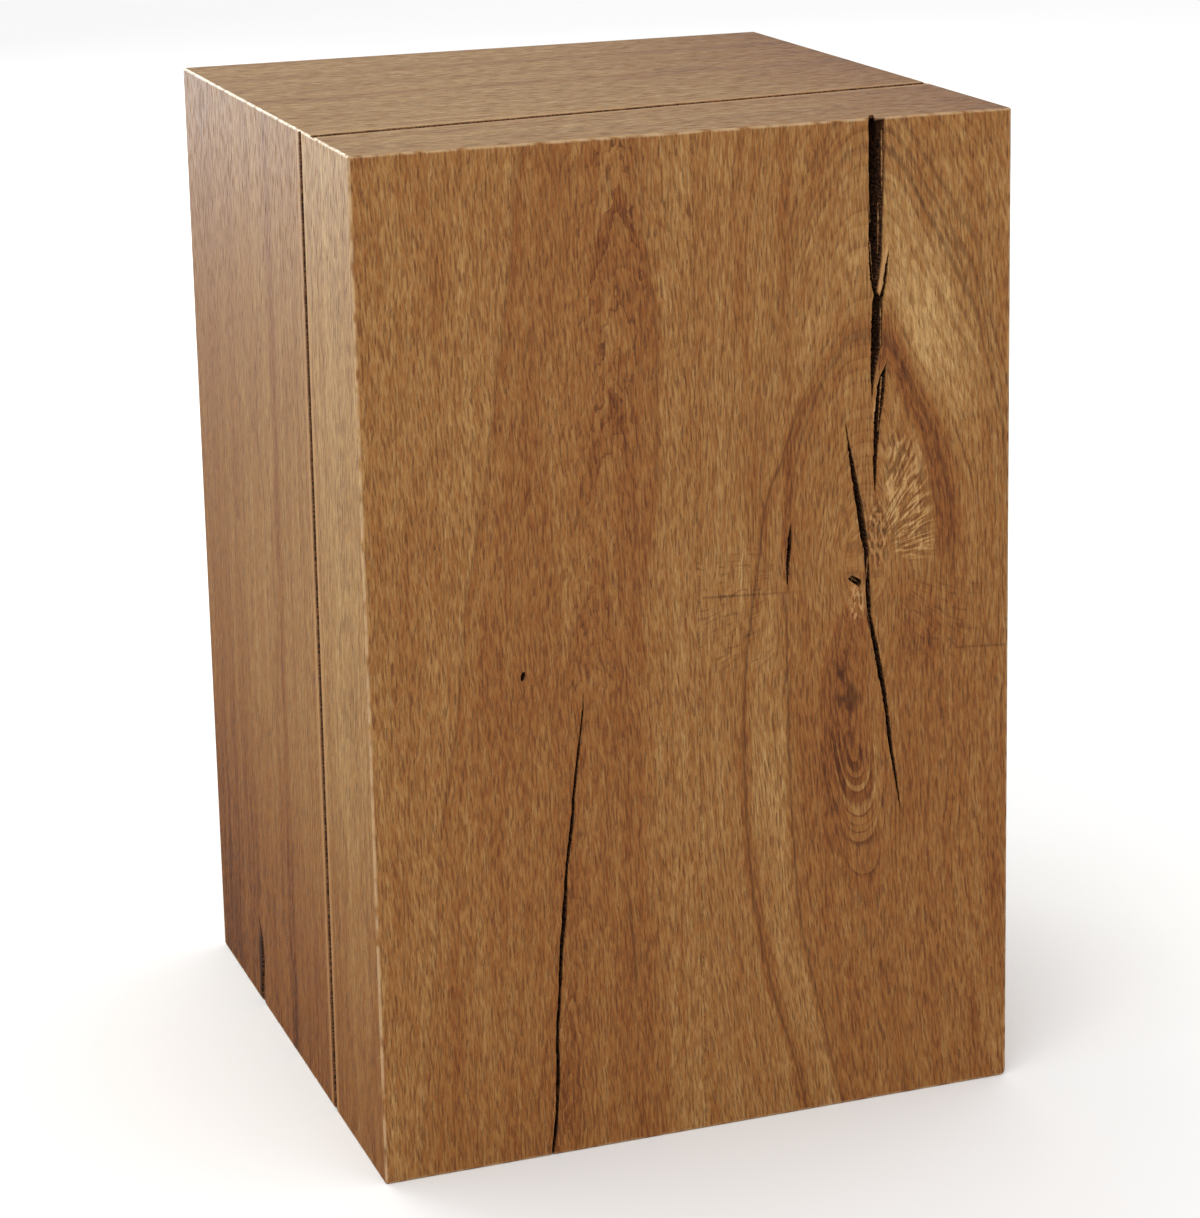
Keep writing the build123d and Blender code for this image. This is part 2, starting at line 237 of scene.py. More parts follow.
def noise(tree, x, y, seed, detail=2.0, roughness=0.5):
    """Soft noise from 0 to 1 over a face, with features about one unit across."""
    place = tree.nodes.new("ShaderNodeCombineXYZ")
    plug(tree, place.inputs[0], x + seed * seed_step)
    plug(tree, place.inputs[1], y)
    node = tree.nodes.new("ShaderNodeTexNoise")
    node.noise_dimensions = "2D"
    node.inputs["Scale"].default_value = 1.0
    node.inputs["Detail"].default_value = detail
    node.inputs["Roughness"].default_value = roughness
    tree.links.new(place.outputs[0], node.inputs["Vector"])
    return Field(tree, node.outputs["Fac"])


print("noise ready")

# %% [markdown]
# What several finishes share is made once, as a node group with named sockets, and is then
# placed in each material with its own values. The class below makes such a group, and an
# input or an output of it can be used in formulas like any other field.

# %% Make a shader group


class Group:
    """A shader node group with named inputs and outputs. All inputs are numbers."""

    def __init__(self, name, inputs, outputs):
        self.tree = bpy.data.node_groups.new(name, "ShaderNodeTree")
        new_socket = self.tree.interface.new_socket
        for label in inputs:
            new_socket(name=label, in_out="INPUT", socket_type="NodeSocketFloat")
        for label, kind in outputs.items():
            new_socket(name=label, in_out="OUTPUT", socket_type="NodeSocket" + kind)
        self.given = self.tree.nodes.new("NodeGroupInput")
        self.result = self.tree.nodes.new("NodeGroupOutput")

    def get(self, label):
        return Field(self.tree, self.given.outputs[label])

    def give(self, label, value):
        plug(self.tree, self.result.inputs[label], value)

    def place(self, tree, **values):
        """Puts the group in a material, sets all its inputs and returns its outputs."""
        node = tree.nodes.new("ShaderNodeGroup")
        node.node_tree = self.tree
        for label, value in values.items():
            plug(tree, node.inputs[label.replace("_", " ")], value)
        return {socket.name: Field(tree, socket) for socket in node.outputs}


print("group maker ready")

# %% [markdown]
# The first group is the growth rings. Oak grows a dark, porous line each spring and denser
# wood after it, so one number, the distance from the heart of the tree, gives the whole
# pattern. Soft noise makes the rings uneven, and each ring gets a tone of its own.

# %% Growth rings
uneven_by_rings = 3.2
spring_wood = (0.05, 0.62)
dark_line_at = 0.08
dark_line_fade = (0.03, 0.16)

rings = Group(
    "Growth rings",
    ["Radius", "Along", "Ring Width", "Seed"],
    {"Earlywood": "Float", "Line": "Float", "Ring Tone": "Float"},
)
radius_in, along_in = rings.get("Radius"), rings.get("Along")
unevenness = noise(rings.tree, radius_in * 0.11, along_in * 0.012, rings.get("Seed"))
ring_phase = radius_in / rings.get("Ring Width") + unevenness * uneven_by_rings
ring_number = ring_phase.whole()
ring_part = ring_phase.part()
line_breaks = noise(rings.tree, radius_in * 0.4, along_in * 0.11, rings.get("Seed"))
dark_line = (ring_part - dark_line_at).size().fall(*dark_line_fade)
ring_pick = rings.tree.nodes.new("ShaderNodeTexWhiteNoise")
ring_pick.noise_dimensions = "1D"
plug(rings.tree, ring_pick.inputs["W"], ring_number + rings.get("Seed"))
rings.give("Earlywood", ring_part.fall(*spring_wood))
rings.give("Line", dark_line * line_breaks.rise(0.38, 0.6))
rings.give("Ring Tone", Field(rings.tree, ring_pick.outputs["Value"]))
print("group", rings.tree.name)

# %% [markdown]
# Oak is full of dashes: open pores, and finer ones between them. They are the same thing at
# two sizes, long spindles that lie along the grain. Cells of a Voronoi texture would make
# neat ones, but they take long to work out and look too even. So each dash is a peak of soft
# noise, stretched along the grain. Depth is added to the way across, so that the pattern
# goes on along the walls of a crack.

# %% Dashes: pores of two sizes
slant_into_wood = 0.7
slant_of_rows = 0.37
dash_border = 0.07

dashes = Group(
    "Grain dashes",
    ["Across", "Depth", "Along", "Width", "Length", "From", "Seed"],
    {"Mask": "Float"},
)
dash_across = dashes.get("Across") + dashes.get("Depth") * slant_into_wood
dash_across = dash_across / dashes.get("Width")
# Noise lies on a square lattice whose rows would show on a plain board, so they are slanted.
dash_along = dashes.get("Along") / dashes.get("Length") + dash_across * slant_of_rows
dash_peaks = noise(dashes.tree, dash_across, dash_along, dashes.get("Seed"), detail=0.0)
dashes.give("Mask", (dash_peaks - dashes.get("From")).rise(0.0, dash_border))
print("group", dashes.tree.name)

# %% [markdown]
# The block's outer edges were eased with a plane and have been handled since. A band along
# them is painted a little lighter, partly for that wear and partly as a painted highlight
# where the arris catches the light. On any face, the middle one of the three distances to
# the outside planes is the distance to the nearest edge.

# %% Worn edges with a painted highlight
half_side = cad_high.x * MM
block_height = cad_high.z * MM
wear_and_highlight_fade = (0.5, 1.5)
arris = (0.9, 1.3)
scuffs_per_mm = 0.12

worn_and_lit_edge = Group("Worn edge", ["X", "Y", "Z"], {"Mask": "Float", "Away": "Float"})
at_x, at_y, at_z = (worn_and_lit_edge.get(label) for label in "XYZ")
to_side = half_side - at_x.size()
to_front = half_side - at_y.size()
to_top = block_height - at_z
to_end = at_z.least(to_top)
to_edge = to_side.least(to_front).most(to_side.most(to_front).least(to_end))
scuff_across = (at_x + at_y) * scuffs_per_mm
scuffs = noise(worn_and_lit_edge.tree, scuff_across, at_z * scuffs_per_mm, 1.0, detail=1.0)
# Wear and painted highlight: up to 1.5 mm from an outer edge the wood is painted pale, broken by
# scuffs.
worn_and_lit_edge.give("Mask", to_edge.fall(*wear_and_highlight_fade) * scuffs.rise(0.25, 0.6))
worn_and_lit_edge.give("Away", to_edge.rise(*arris))
print("group", worn_and_lit_edge.tree.name)

# %% [markdown]
# Colours are given as a paint program shows them and are then made linear, because that is
# what the nodes add up. Two helpers place them: a ramp, which reads a colour from a field,
# and a layer, which lays one colour over another where a mask is 1.

# %% Colours, ramps and layers


def srgb(red, green, blue):
    """A colour as a paint program gives it, from 0 to 255, as the linear one that nodes use."""
    shares = [channel / 255 for channel in (red, green, blue)]
    linear = [s / 12.92 if s <= 0.04045 else ((s + 0.055) / 1.055) ** 2.4 for s in shares]
    return (*linear, 1.0)


def ramp(tree, value, stops):
    """A colour ramp over a field: stops are (place, colour)."""
    node = tree.nodes.new("ShaderNodeValToRGB")
    elements = node.color_ramp.elements
    elements[0].position, elements[0].color = stops[0]
    elements[1].position, elements[1].color = stops[-1]
    for place, colour in stops[1:-1]:
        elements.new(place).color = colour
    plug(tree, node.inputs[0], value)
    return node.outputs[0]


def layer(tree, share, below, above):
    """Lays one colour over another."""
    node = tree.nodes.new("ShaderNodeMix")
    node.data_type = "RGBA"
    plug(tree, node.inputs["Factor"], share)
    plug(tree, node.inputs[6], below)
    plug(tree, node.inputs[7], above)
    return node.outputs[2]


print("colour helpers ready")

# %% [markdown]
# The last shared group turns those masks into colour. Oiled oak runs from pale ochre
# through golden brown to red-brown, and that is one ramp over a tone from 0 to 1. Pores
# are dark because oil and dust sit in them. Inside a check the wood was never oiled, and
# it is rough, with fine lines across it where the fibres tore. There it is painted nearly
# black to dark brown, as painted shade in the check.

# %% Oiled oak: the tone
oak_ramp = [
    (0.0, srgb(192, 152, 98)),
    (0.25, srgb(166, 122, 70)),
    (0.5, srgb(151, 100, 49)),
    (0.75, srgb(136, 80, 35)),
    (1.0, srgb(90, 46, 20)),
]

oak_masks = ["Tone", "Earlywood", "Line", "Pores", "Fine Pores", "Openness"]
oak_masks += ["Stain", "Pale", "Worn", "Inside"]
oak_ways = ["Across", "Straight", "Depth", "Along"]
oak = Group(
    "Oiled oak",
    oak_masks + oak_ways,
    {"Color": "Color", "Roughness": "Float", "Height": "Float"},
)
into = oak.get("Across") + oak.get("Depth") * slant_into_wood
fuzz_along = oak.get("Along") * 0.15 + into * slant_of_rows
fuzz = noise(oak.tree, into * 0.8, fuzz_along, 1.0, detail=3.0, roughness=0.6)
fibres = fuzz.rise(0.36, 0.64)
streaks_along = oak.get("Along") * 0.022 + into * 0.09
streaks = noise(oak.tree, into * 0.24, streaks_along, 3.0, detail=3.0, roughness=0.7)
oak_tone = oak.get("Tone") + (fibres - 0.5) * 0.25 + (streaks - 0.5) * 0.5
oak_tone = oak_tone + oak.get("Earlywood") * 0.05
print("tones of oak", len(oak_ramp))

# %% Oiled oak: the colour
line_brown = srgb(96, 54, 28)
fine_pore_brown = srgb(96, 56, 29)
pore_brown = srgb(78, 42, 20)
# Pale wood, and also the colour of the painted highlights on check rims and on the arrises beside
# the gaps.
pale_wood_and_highlight = srgb(196, 148, 96)
# Stains, and also the colour of the painted shade in the gaps and checks of the plain boards.
stain_and_shade_brown = srgb(62, 31, 17)
# Edge wear, and also the colour of the painted highlight along the outer arrises.
worn_and_highlight_pale = srgb(212, 182, 142)
# Painted shade: the torn wood inside the checks, nearly black to dark brown, with the torn fibres
# in it.
torn_fibres_in_shade_ramp = [(0.36, srgb(30, 17, 9)), (0.5, srgb(80, 48, 27)), (0.66, srgb(124, 82, 50))]

in_early = oak.get("Earlywood") * 0.6 + 0.55
fine_show = oak.get("Fine Pores") * in_early
pore_show = oak.get("Pores") * in_early * oak.get("Openness")
surface = ramp(oak.tree, oak_tone, oak_ramp)
for mask, strength, colour in (
    (oak.get("Line"), 0.5, line_brown),
    (fine_show, 0.36, fine_pore_brown),
    (pore_show, 0.46, pore_brown),
    (oak.get("Pale"), 0.8, pale_wood_and_highlight),
    (oak.get("Stain"), 0.8, stain_and_shade_brown),
    (oak.get("Worn"), 0.5, worn_and_highlight_pale),
):
    surface = layer(oak.tree, mask * strength, surface, colour)
torn_across = oak.get("Across") * 0.5 + oak.get("Depth") * 0.12
torn = noise(oak.tree, torn_across, oak.get("Along") * 1.1, 4.0, detail=1.0, roughness=0.7)
raw_wood_in_shade = ramp(oak.tree, torn, torn_fibres_in_shade_ramp)
oak.give("Color", layer(oak.tree, oak.get("Inside"), surface, raw_wood_in_shade))
sheen = 0.34 + fuzz * 0.12 + oak.get("Pores") * 0.3 - oak.get("Worn") * 0.06
oak.give("Roughness", sheen + oak.get("Inside") * 0.4)
print("group", oak.tree.name)

# %% [markdown]
# A bump works its height out three times at each point, so the height reads only a few
# nodes: the fibres and the large pores, both along straight grain. Where the wood is torn,
# it is about ten times rougher.

# %% Oiled oak: the relief
sanded_relief = 0.035
torn_relief = 0.35
pore_depth = 0.16

relief_across = oak.get("Straight") + oak.get("Depth") * slant_into_wood
relief_along = oak.get("Along") * 0.18 + relief_across * 0.4
relief = noise(oak.tree, relief_across * 1.1, relief_along, 7.0).rise(0.36, 0.64)
roughened = oak.get("Depth").rise(0.5, 2.0) * torn_relief + sanded_relief
oak.give("Height", relief * roughened - oak.get("Pores") * pore_depth)
print("relief in mm, sanded", sanded_relief, "and torn", torn_relief)

# %% [markdown]
# Each board material starts and ends in the same way: it reads the place of a point on the
# object in millimetres, and it hands its maps to one Principled shader with a bump.

# %% A board material


class Wood:
    """The coordinates of one board in millimetres, and its material."""

    def __init__(self, name):
        self.material = bpy.data.materials.new(name)
        self.material.use_nodes = True
        self.tree = self.material.node_tree
        self.tree.nodes.clear()
        place = self.tree.nodes.new("ShaderNodeTexCoord")
        scaled = self.tree.nodes.new("ShaderNodeVectorMath")
        scaled.operation = "SCALE"
        scaled.inputs["Scale"].default_value = MM
        self.tree.links.new(place.outputs["Object"], scaled.inputs[0])
        parts = self.tree.nodes.new("ShaderNodeSeparateXYZ")
        self.tree.links.new(scaled.outputs[0], parts.inputs[0])
        self.x, self.y, self.z = (Field(self.tree, output) for output in parts.outputs)

    def drift(self, across, along, across_size, along_size, seed, detail=2.0):
        """Slow noise from -0.5 to 0.5 over the face."""
        return noise(self.tree, across / across_size, along / along_size, seed, detail) - 0.5

    def finish(self, colour, roughness, height):
        """Joins the maps to a Principled shader. The height is in millimetres."""
        shader = self.tree.nodes.new("ShaderNodeBsdfPrincipled")
        output = self.tree.nodes.new("ShaderNodeOutputMaterial")
        bump = self.tree.nodes.new("ShaderNodeBump")
        bump.inputs["Strength"].default_value = 1.0
        bump.inputs["Distance"].default_value = 1.0 / MM
        shader.inputs["Specular IOR Level"].default_value = 0.3
        plug(self.tree, bump.inputs["Height"], height)
        plug(self.tree, shader.inputs["Base Color"], colour)
        plug(self.tree, shader.inputs["Roughness"], roughness)
        self.tree.links.new(bump.outputs[0], shader.inputs["Normal"])
        self.tree.links.new(shader.outputs[0], output.inputs[0])
        return self.material


def use(material, *names):
    """Gives a material to nodes of the frame."""
    for name in names:
        for slot in boards[name].material_slots:
            slot.material = material
        print(name, "is", material.name)


# %% [markdown]
# The oak finish needs to know three directions: across the face, into the board and along
# the grain. With those, one function places the shared groups, and only the figure, the
# growth rings and the tone of each board differ. The flow is the way across that the small
# pores and fibres follow. It differs from straight grain only where the wood parts round a
# knot. Openness tells how open the pores are, because denser wood shows fewer.

# %% Oiled oak on a board
large_dash = {"Width": 0.95, "Length": 8.0, "From": 0.60}
fine_dash = {"Width": 0.62, "Length": 4.6}
fine_from = 0.64


def oiled_oak(
    wood,
    across,
    depth,
    along,
    radius,
    tone,
    ring_width,
    seed,
    straight,
    line_strength,
    ring_contrast,
    flow=None,
    openness=1.0,
    stain_and_shade=0.0,
    pale=0.0,
    rim=0.75,
    inside=(0.45, 1.6),
):
    """Rings, pores and wear on the face, painted highlights on edges and check rims, and raw wood
    in the checks, painted dark as shade.
    """
    flow = across if flow is None else flow
    way = {"Depth": depth, "Along": along}
    more_fine = fine_from - openness * 0.06
    grown = rings.place(wood.tree, Radius=radius, Along=along, Ring_Width=ring_width, Seed=seed)
    pores = dashes.place(wood.tree, Across=straight, **way, **large_dash, Seed=seed)
    fine = dashes.place(
        wood.tree, Across=flow, **way, **fine_dash, From=more_fine, Seed=seed + 5.3
    )
    edge = worn_and_lit_edge.place(wood.tree, X=wood.x, Y=wood.y, Z=wood.z)
    away_from_foot = wood.z.rise(0.2, 1.0)
    # Painted highlight: the rims of the checks, from 0.03 to 0.6 mm in, are painted pale as if
    # they caught the light.
    painted_rim_highlight = depth.within((0.03, 0.12), (0.32, 0.6)) * edge["Away"]
    made = oak.place(
        wood.tree,
        Tone=tone + (grown["Ring Tone"] - 0.5) * ring_contrast,
        Earlywood=grown["Earlywood"],
        Line=grown["Line"] * line_strength,
        Pores=pores["Mask"],
        Fine_Pores=fine["Mask"],
        Stain=stain_and_shade,
        Pale=painted_rim_highlight * rim + pale,
        # Painted shade: past 0.45 to 1.6 mm into a check the raw wood is painted dark.
        Inside=depth.rise(*inside) * away_from_foot * edge["Away"],
        Openness=openness,
        Across=flow,
        Straight=straight,
        **way,
        Worn=edge["Mask"],
    )
    return wood.finish(made["Color"], made["Roughness"], made["Height"])


def glue_line(wood):
    """The fine dark line of dots where the two front boards meet."""
    dots = noise(wood.tree, wood.z / 2.6, 3.0, 1.0)
    return wood.x.pulse(0.0, 0.55) * dots.rise(0.4, 0.6)


print("oak finish ready")

# %% [markdown]
# The left board of the front was sawn nearly flat through the tree, so the rings climb it
# as a tall flame. Two curves give it: where the heart of the tree lies behind the face,
# and how far behind. A ring is then a circle about that line, cut by the face. All places
# are in millimetres, across from the middle of the block and up from its foot.

# %% Front left board: the flame
front_left = Wood("front_left_oak")
left_depth = front_left.y + half_side
x, up = front_left.x, front_left.z
wander = front_left.drift(x, up, 40.0, 70.0, seed=1.0)
jitter = front_left.drift(x, up, 5.0, 11.0, seed=4.0, detail=3.0)
across = x + wander * 6.0
heart = up.curve([(0, -66), (25, -64), (78, -60), (251, -45), (381, -34), (450, -32)])
from_heart = (across - heart).size()
heart_depth = up * 0.1 + 7.0 + left_depth
flame_radius = (from_heart.squared() + heart_depth.squared()).root()
flame_reach = from_heart.curve([(0, 2), (9, 14), (26, 30), (60, 62), (110, 112)])
flame_rings = (flame_reach.squared() + heart_depth.squared()).root() + jitter * 3.4
flame_rings = flame_rings.curve([(0, 0), (52, 98), (72, 122), (130, 190)])
print("flame of", front_left.material.name)

# %% [markdown]
# The flame is redder than the wood beside it, with a sharp border on its left and a pale
# band on its right. Its rows of dark lines show most in its upper third, and a few dark
# streaks come back near the foot.

# %% Front left board: tone and lines
red_zone = flame_radius.fall(66.5, 68.5)
band_edge = up.curve(
    [(0, -15), (100, -22), (150, -27), (230, -25), (280, -20), (336, -16), (400, -19), (450, -23)]
)
from_band = across - band_edge
pale_band = from_band.rise(-2.0, 3.0)
flame_core = flame_radius.fall(14.0, 34.0) + from_heart.fall(6.0, 16.0) * 0.8
slow_tone = front_left.drift(x, up, 14.0, 150.0, seed=3.0, detail=3.0)
left_tone = 0.41 + red_zone * 0.13 - pale_band * red_zone * 0.14 + flame_core * 0.04
left_tone = left_tone + x.pulse(-26.0, 9.0) * 0.08 + slow_tone * 0.34

flame_show = up.rise(285.0, 345.0) * 1.15 + up.fall(60.0, 110.0) * 0.14
flame_show = flame_show + up.pulse(235.0, 40.0) * 0.5 + 0.12

flame_border = flame_radius.pulse(67.6, 1.1)
band_line = from_band.pulse(-1.0, 1.2) * up.rise(250.0, 330.0)
foot_streak = (across + 33.0 + (up - 90.0) * 0.04).pulse(0.0, 1.2)
foot_streak = foot_streak * up.within((62.0, 80.0), (108.0, 122.0))
left_stain = flame_border * 0.22 + band_line * 0.25 + foot_streak * 0.5
left_board_oak = oiled_oak(
    front_left,
    across,
    left_depth,
    up,
    radius=flame_rings,
    tone=left_tone,
    ring_width=2.0,
    seed=2.0,
    straight=x,
    line_strength=0.16 + flame_core * flame_show * 1.2,
    ring_contrast=flame_core * flame_show * 0.34 + 0.10,
    stain_and_shade=left_stain + glue_line(front_left) * 0.5,
)
use(left_board_oak, "front_left_board")

# %% [markdown]
# The right board has a knot, and above it the rings make two arches, one inside the other.
# The same idea holds, but the heart line wanders, and the rings are closer together on
# one side of it. The crown is how far the arches have closed over the heart line at each
# height. Beside the knot it is nothing, and there the rings run down as two legs.

# %% Front right board: the arches
knot_x, knot_z = 78.0, 255.0

front_right = Wood("front_right_oak")
right_depth = front_right.y + half_side
x, up = front_right.x, front_right.z
across = x + front_right.drift(x, up, 26.0, 40.0, seed=7.0) * 3.0
heart_marks = [(0, 101), (25, 95), (50, 89.5), (75, 84), (100, 80), (126, 76), (156, 74)]
heart_marks += [(191, 72), (221, 75), (255, 78), (356, 80), (450, 82)]
crown_marks = [(0, 16), (80, 16), (110, 14), (140, 8), (180, 0), (250, 0), (270, 7)]
crown_marks += [(300, 18), (332, 30), (356, 38), (397, 48), (450, 61.5)]
left_marks = [(0, 0), (8, 6), (13, 12.5), (37, 38), (52, 60), (90, 124)]
right_marks = [(0, 0), (8, 6), (13, 13), (24, 25.5), (40, 36.5), (53, 43), (57, 47), (75, 62)]
crown = up.curve(crown_marks)
beside_heart = across - up.curve(heart_marks)
reach = (-beside_heart).curve(left_marks) + beside_heart.curve(right_marks)
arch_radius = (reach.squared() + (crown + right_depth * 0.8).squared()).root()
arch_rings = arch_radius.curve([(0, 0), (14, 32), (38, 62), (70, 102), (140, 180)])
print("arches of", front_right.material.name)

# %% [markdown]
# The grain parts round the knot, as water does round a stone. The formula is the one for
# water that flows round a post: the nearer a line comes to the knot, the more it is pushed
# aside. Further out the grain follows the arches.

# %% Front right board: the grain round the knot
knot_reach = 11.0
follows_arches = 0.3

from_knot_x = x - knot_x
from_knot_z = up - knot_z
near_knot = from_knot_x.squared() + from_knot_z.squared() * 0.4
pushed = near_knot.most(knot_reach**2 * 0.7).maths("POWER", -1.0) * knot_reach**2
arch_side = beside_heart.rise(-8.0, 8.0) * 2.0 - 1.0
grain_flow = from_knot_x * (1.0 - pushed) * (1.0 - follows_arches)
grain_flow = grain_flow + arch_side * arch_radius * follows_arches
print("knot at", knot_x, knot_z)

# %% [markdown]
# A knot is the foot of a branch, and rays run out from it over the face as short ticks. The
# angle about the knot gives them: the sine of many times the angle makes stripes, and soft
# noise in it spaces them unevenly. Breaks across the stripes leave ticks, dark in the fans
# on both sides, and dark and bright above the knot, where the wood has torn.

# %% Front right board: the rays of the knot
ray_angle = from_knot_z.maths("ARCTAN2", from_knot_x)
left_angle = from_knot_z.maths("ARCTAN2", -from_knot_x)
ray_distance = (from_knot_x.squared() + from_knot_z.squared()).root()
ray_bend = noise(front_right.tree, ray_angle * 12.0, ray_distance / 13.0, 4.0, detail=1.0)
ray_breaks = front_right.drift(x, up, 7.0, 4.0, seed=9.0) + 0.5


def knot_rays(angle, per_radian, unevenness):
    """Stripes that point away from the knot, from -1 to 1."""
    return (angle * per_radian + ray_bend * unevenness).maths("SINE")


left_ticks = knot_rays(left_angle, 130.0, 12.0).rise(0.5, 0.95) * ray_breaks.rise(0.46, 0.58)
right_ticks = knot_rays(ray_angle, 78.0, 12.0).rise(0.6, 0.97) * ray_breaks.rise(0.36, 0.52)
fleck_rays = knot_rays(ray_angle, 40.0, 14.0)
dark_flecks = fleck_rays.rise(0.25, 0.8) * ray_breaks.rise(0.3, 0.45)
bright_flecks = fleck_rays.fall(-0.75, -0.1) * ray_breaks.fall(0.55, 0.7)
left_fan = x.fall(26.0, 42.0) * up.within((204.0, 218.0), (260.0, 272.0))
right_fan = from_knot_x.within((12.0, 18.0), (42.0, 66.0))
right_fan = right_fan * up.within((198.0, 214.0), (240.0, 250.0))
torn_patch = arch_radius.fall(29.0, 35.0) * beside_heart.rise(8.0, 12.0)
torn_patch = torn_patch * up.within((250.0, 258.0), (302.0, 316.0)) * ray_distance.rise(13.0, 19.0)
torn_dark, torn_bright = torn_patch * dark_flecks, torn_patch * bright_flecks
long_tick = (up - 246.0 + (x - 14.0) * 0.06).pulse(0.0, 0.8)
long_tick = long_tick * x.within((0.5, 3.0), (24.0, 62.0))
edge_tick = (up - 209.0 + (x - 130.0) * 0.08).pulse(0.0, 0.9) * x.rise(118.0, 128.0)
ray_stain = left_fan * left_ticks * 0.42 + right_fan * right_ticks * 0.42
ray_stain = ray_stain + torn_dark * 0.5 + long_tick * 0.42 + edge_tick * 0.4
print("rays ready")

# %% [markdown]
# The dark lines of the figure are curves through marks: how far across a line lies at each
# height. A narrow pulse about the curve draws it, and ragged noise keeps it from looking
# inked. Round the arches the lines are rings, so there the radius is enough.

# %% Front right board: its dark lines
outer_marks = [(0, 49), (25, 43.5), (50, 36), (75, 30), (125, 22.5), (180, 20.5), (209, 21.5)]
outer_marks += [(239, 25), (261, 28.5), (282, 31.5), (304, 39.5), (331, 50), (350, 60)]
inner_marks = [(0, 67), (25, 61), (50, 55.5), (75, 50), (100, 46), (150, 42.5), (200, 41.5)]
inner_marks += [(250, 41)]
# Each fine arch is given as its radius, its width and its strength.
fine_arches = [(58.0, 0.7, 1.0), (60.4, 0.6, 0.8), (62.8, 0.7, 0.7), (53.5, 0.5, 0.5)]
fine_arches += [(56.0, 0.5, 0.4)]

ragged = front_right.drift(x, up, 6.0, 9.0, seed=12.0) * 1.6
from_outer = x - up.curve(outer_marks)
from_inner = x - up.curve(inner_marks)
below_arch = up.fall(318.0, 350.0)
outer_leg = (from_outer + ragged * 0.6).pulse(0.0, 1.0) * below_arch
inner_leg = (from_inner + ragged * 0.6).pulse(0.0, 0.9) * up.fall(238.0, 250.0)
leg_bands = (from_outer + ragged).pulse(1.0, 4.5) * below_arch
leg_bands = leg_bands + (from_inner + ragged).pulse(1.0, 4.0) * 0.8
arch_top = up.rise(225.0, 330.0) * 0.85 + 0.15
outer_arch = 0.0
for radius, width, strength in fine_arches:
    outer_arch = outer_arch + (arch_radius + ragged * 0.5).pulse(radius, width) * strength
outer_arch = outer_arch * arch_top * (beside_heart.rise(-4.0, 6.0) * 0.6 + 0.4)
inner_arch = arch_radius.pulse(38.0, 1.0) * arch_top
line_stain = outer_leg * 0.5 + inner_leg * 0.46 + outer_arch * 0.5 + inner_arch * 0.36
print("fine arches", len(fine_arches))

# %% [markdown]
# Small things lie in and near the knot: the dark heart under it with two blackish spots,
# dark and bright crumbs beside the slant check, and bright splinters where a check forks.
# Each has its own mask: an oval, or a pulse about a short line.

# %% Front right board: the heart and the crumbs


def oval(middle_x, middle_z, half_width, half_height):
    """0 at the middle of an oval, 1 on its rim and more outside it."""
    return ((x - middle_x) / half_width).squared() + ((up - middle_z) / half_height).squared()


from_heart_edge = x - up.curve([(95, 64), (130, 58), (156, 57), (185, 56), (221, 62), (238, 71)])
heart_dark = (from_heart_edge + ragged).rise(-0.8, 1.6) * from_heart_edge.fall(6.0, 26.0)
heart_dark = heart_dark * up.within((90.0, 175.0), (229.0, 238.0))
upper_spot = oval(66.5, 209.0, 4.5, 9.0).fall(0.2, 1.3)
lower_spot = oval(70.5, 193.0, 6.0, 8.0).fall(0.2, 1.3)
heart_spots = (upper_spot + lower_spot) * ragged.rise(-0.16, 0.16)
crumbs = noise(front_right.tree, x / 1.5, up / 3.4, 6.0, detail=1.0)
by_the_check = oval(84.5, 266.0, 5.0, 15.0)
under_the_pit = oval(74.5, 236.0, 4.0, 9.0)
knot_dark = by_the_check.fall(0.4, 1.5) * crumbs.rise(0.5, 0.6)
knot_bright = by_the_check.fall(0.6, 1.8) * crumbs.fall(0.34, 0.44)
pit_bright = under_the_pit.fall(0.3, 1.3) * crumbs.fall(0.42, 0.50)
from_splinter = x - up.curve([(318, 83.0), (330, 85.2), (342, 89.0)])
splinter_bright = from_splinter.pulse(0.0, 1.2) * up.within((317.0, 322.0), (339.0, 343.0))
from_fork = (x - up.curve([(372, 85.5), (384, 87.4), (398, 90.8)])).size()
fork_bright = from_fork.fall(0.3, 1.1) * up.within((372.0, 376.0), (392.0, 398.0))
print("crumbs ready")

# %% [markdown]
# Last come the broad tones. The wood between the arches is pale and dense, the legs and the
# foot are red-brown, and under the knot the rings of the heart show as fine nested arcs.

# %% Front right board: its tones
pale_patch = arch_radius.within((39.0, 45.0), (53.0, 59.0)) * up.rise(300.0, 345.0)
pale_patch = pale_patch * (beside_heart.rise(2.0, 12.0) * 0.75 + 0.25)
red_leg = arch_radius.pulse(36.5, 4.2) * beside_heart.rise(0.0, 8.0) * up.rise(238.0, 262.0)
soft_red = arch_radius.pulse(37.0, 8.0) * up.rise(240.0, 270.0)
soft_red = soft_red + arch_radius.pulse(63.0, 7.0) * beside_heart.fall(-8.0, 4.0) * 0.6
fan_red = right_fan * arch_radius.fall(36.0, 42.0)
right_of_line = from_inner.rise(-2.0, 6.0)
lower_red = up.fall(150.0, 300.0) * right_of_line
pale_strip = from_outer.rise(0.0, 5.0) * (1.0 - right_of_line) * up.fall(200.0, 300.0)
slow_tone = front_right.drift(across, up, 12.0, 110.0, seed=5.0, detail=3.0)

